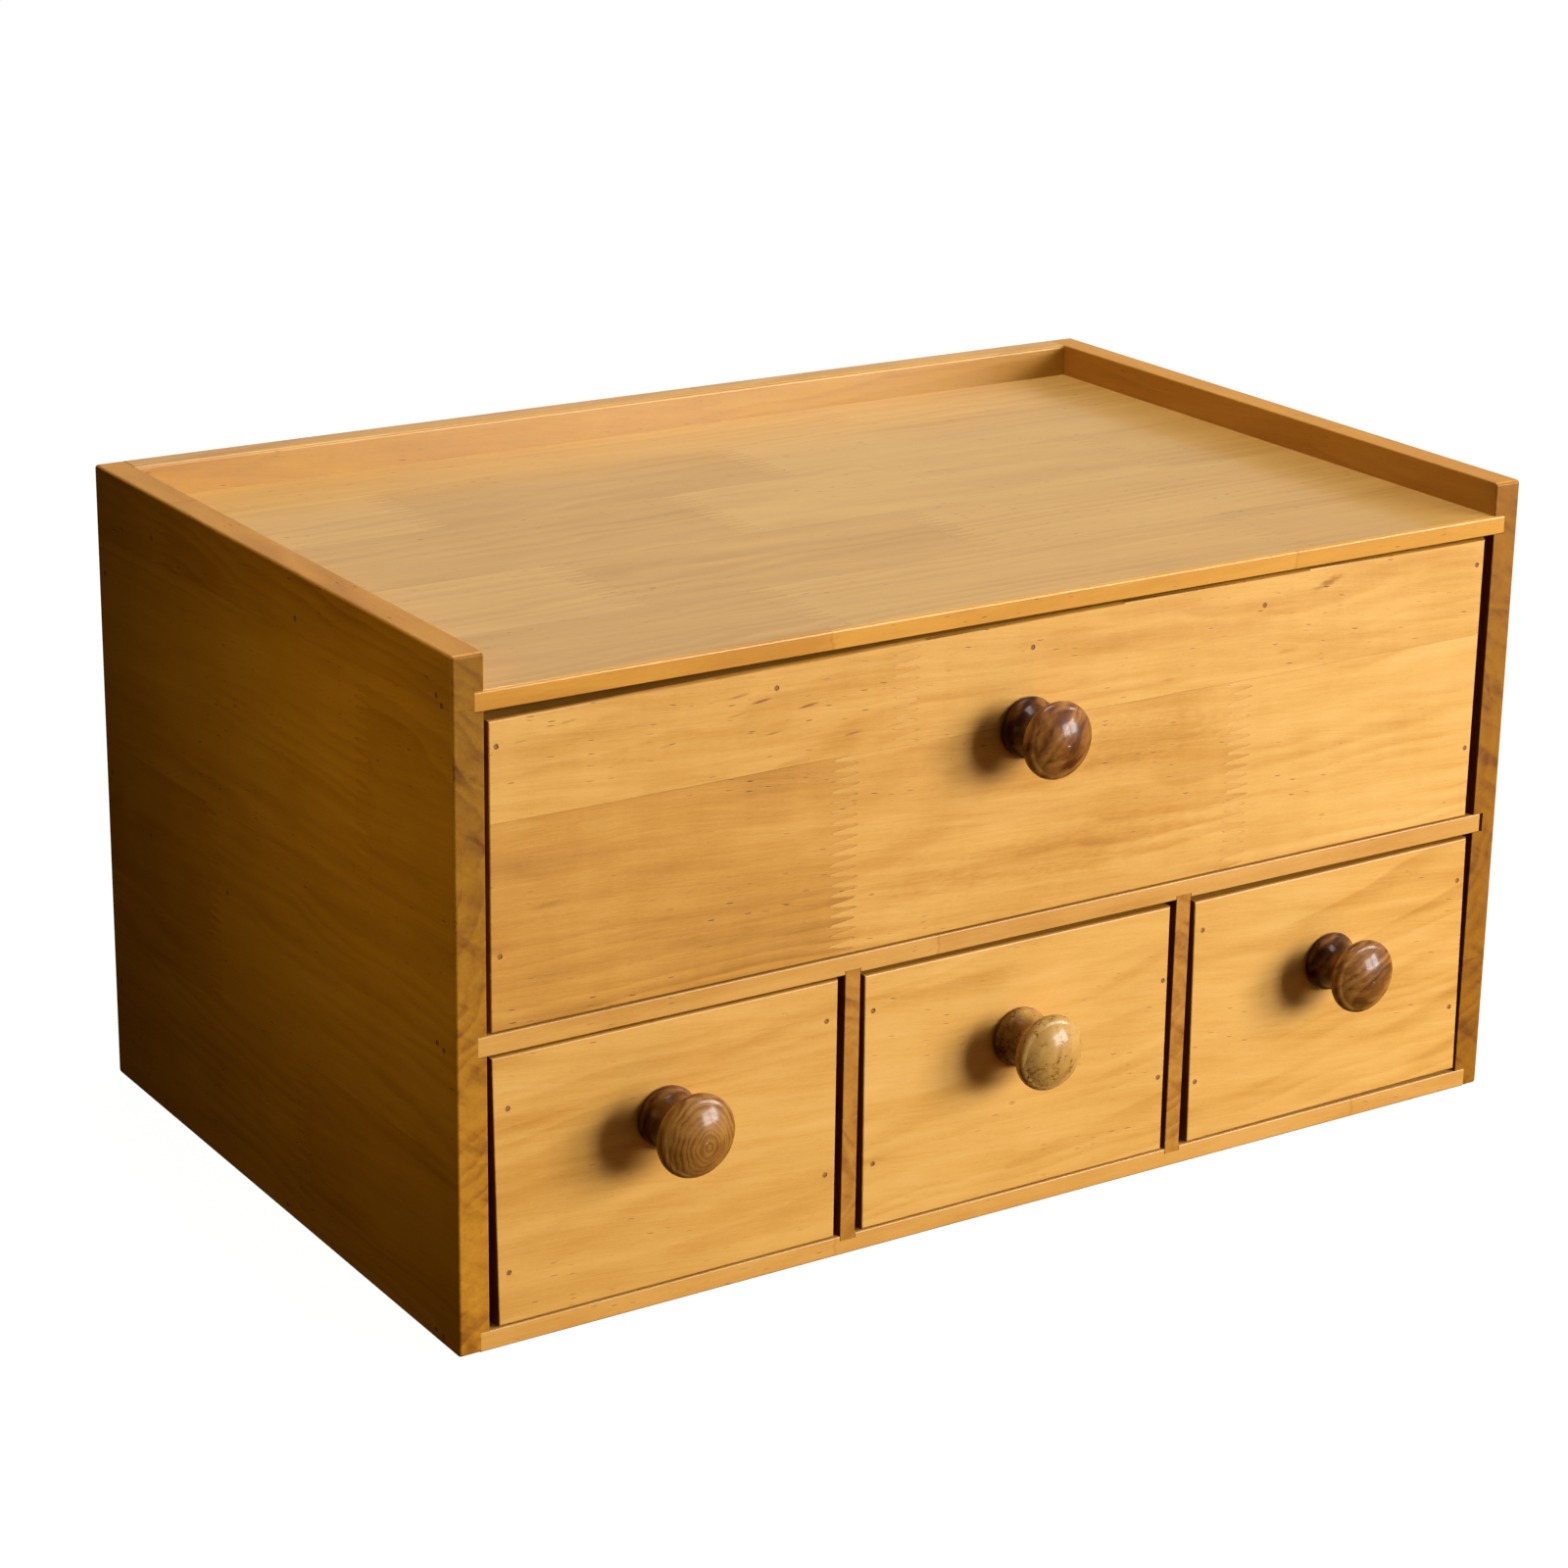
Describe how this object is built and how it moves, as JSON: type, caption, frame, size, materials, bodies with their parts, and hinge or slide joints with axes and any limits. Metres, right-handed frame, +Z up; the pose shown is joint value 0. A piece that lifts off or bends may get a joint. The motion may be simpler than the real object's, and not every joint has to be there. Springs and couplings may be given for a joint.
{
  "type": "desktop drawer organizer",
  "caption": "Small wooden desktop chest with a shallow lipped tray on top, a wide drawer over a row of small ones, and turned wooden knobs",
  "frame": {"origin": "centre of the case's flat underside, where it stands", "axes": "+X to the right seen from the front, the drawers face and open towards -Y, +Z up"},
  "size_m": [0.35, 0.2383, 0.1895],
  "materials": {
    "case_wood": "honey lacquered edge-glued softwood, satin",
    "front_wood": "honey lacquered edge-glued softwood, satin",
    "drawer_wood": "thin planed softwood, clear sealed",
    "drawer_plywood": "thin birch plywood, unfinished",
    "knob_wood": "turned brown hardwood, gloss lacquer",
    "screw_steel": "zinc plated steel",
    "brads": "dark steel brads set below the surface"
  },
  "bodies": {
    "case": {"case_back_nails": "brads", "case_back_panel": "case_wood", "case_bottom_panel": "case_wood", "case_divider_left": "case_wood", "case_divider_nails": "brads", "case_divider_right": "case_wood", "case_left_nails": "brads", "case_left_side": "case_wood", "case_middle_shelf": "case_wood", "case_right_nails": "brads", "case_right_side": "case_wood", "case_top_panel": "case_wood"},
    "wide_drawer": {"wide_drawer_back": "drawer_wood", "wide_drawer_bottom": "drawer_plywood", "wide_drawer_front": "front_wood", "wide_drawer_front_rail": "drawer_wood", "wide_drawer_knob": "knob_wood", "wide_drawer_knob_screw": "screw_steel", "wide_drawer_left_wall": "drawer_wood", "wide_drawer_nails": "brads", "wide_drawer_right_wall": "drawer_wood"},
    "left_drawer": {"left_drawer_back": "drawer_wood", "left_drawer_bottom": "drawer_plywood", "left_drawer_front": "front_wood", "left_drawer_knob": "knob_wood", "left_drawer_knob_screw": "screw_steel", "left_drawer_left_wall": "drawer_wood", "left_drawer_nails": "brads", "left_drawer_right_wall": "drawer_wood"},
    "middle_drawer": {"middle_drawer_back": "drawer_wood", "middle_drawer_bottom": "drawer_plywood", "middle_drawer_front": "front_wood", "middle_drawer_knob": "knob_wood", "middle_drawer_knob_screw": "screw_steel", "middle_drawer_left_wall": "drawer_wood", "middle_drawer_nails": "brads", "middle_drawer_right_wall": "drawer_wood"},
    "right_drawer": {"right_drawer_back": "drawer_wood", "right_drawer_bottom": "drawer_plywood", "right_drawer_front": "front_wood", "right_drawer_knob": "knob_wood", "right_drawer_knob_screw": "screw_steel", "right_drawer_left_wall": "drawer_wood", "right_drawer_nails": "brads", "right_drawer_right_wall": "drawer_wood"}
  },
  "joints": [
    {"name": "wide_drawer_slide", "type": "slide", "parent": "case", "child": "wide_drawer", "axis": [0, -1, 0], "range_m": [0, 0.165]},
    {"name": "left_drawer_slide", "type": "slide", "parent": "case", "child": "left_drawer", "axis": [0, -1, 0], "range_m": [0, 0.165]},
    {"name": "middle_drawer_slide", "type": "slide", "parent": "case", "child": "middle_drawer", "axis": [0, -1, 0], "range_m": [0, 0.165]},
    {"name": "right_drawer_slide", "type": "slide", "parent": "case", "child": "right_drawer", "axis": [0, -1, 0], "range_m": [0, 0.165]}
  ]
}
